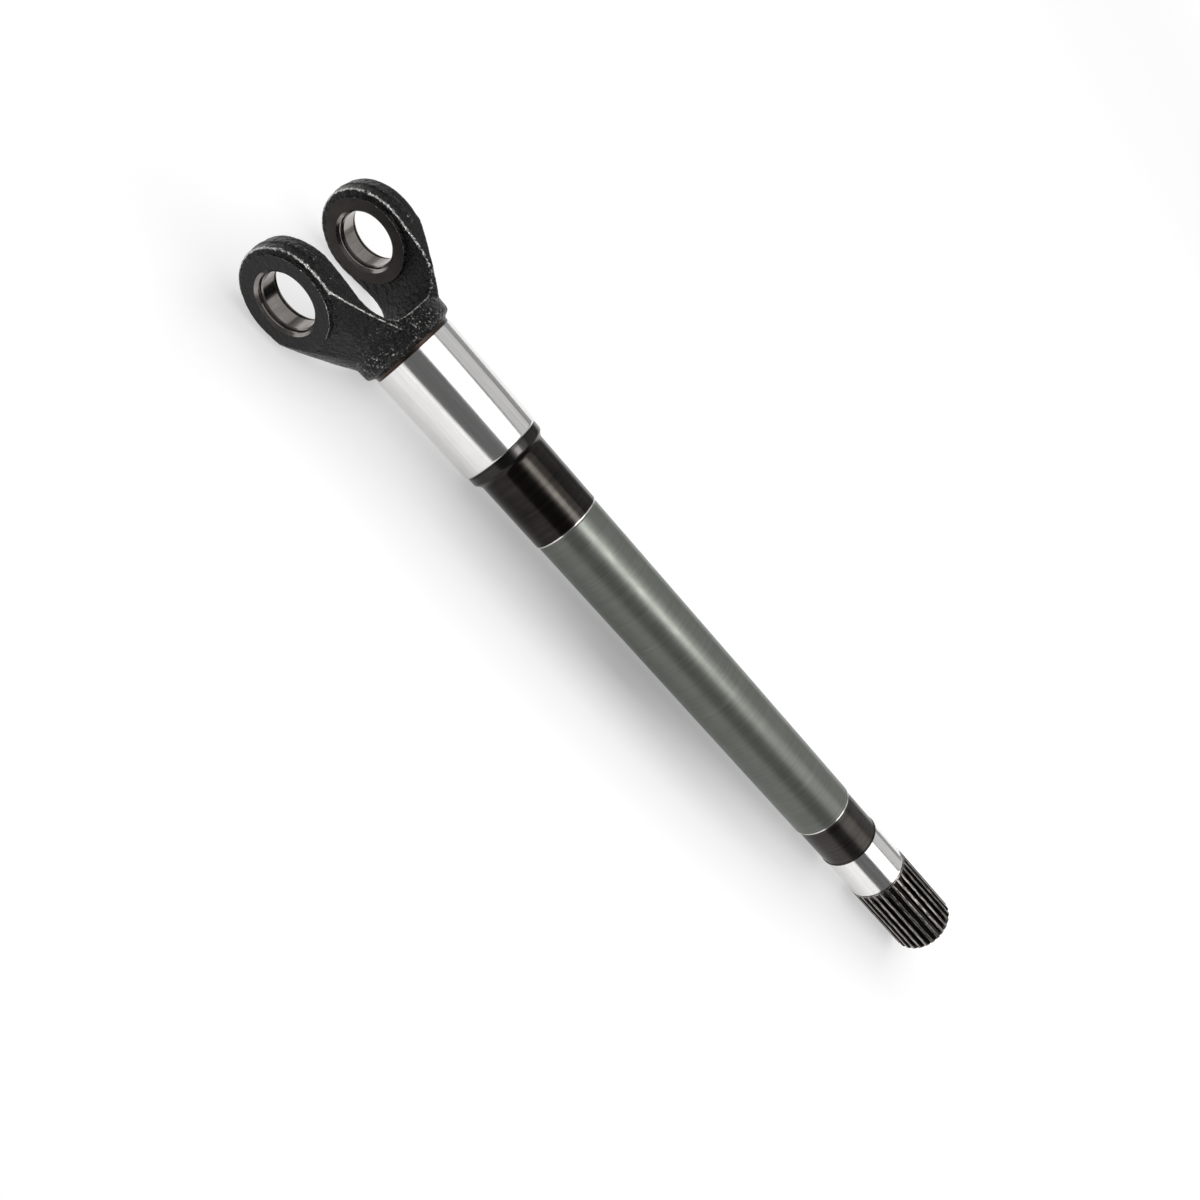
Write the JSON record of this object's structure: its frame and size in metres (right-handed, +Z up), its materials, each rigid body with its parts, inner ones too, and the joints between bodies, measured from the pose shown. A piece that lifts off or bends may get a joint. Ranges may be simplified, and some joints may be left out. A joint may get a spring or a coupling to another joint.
{
  "type": "fork shaft of a double universal joint",
  "caption": "One-piece forged fork and shaft, the half of a double universal joint: bored ears, ground bearing journal, stepped shaft and splined end.",
  "frame": {"origin": "centre of the joint, on the axis of the two ear bores, midway between the ears", "axes": "+X along the shaft from the joint centre to the splined end, +Y along the axis of the ear bores, +Z up as it lies"},
  "size_m": [0.5824, 0.088, 0.057],
  "materials": {
    "steel": "satin"
  },
  "bodies": {
    "root": {"fork_shaft": "steel"}
  },
  "joints": []
}
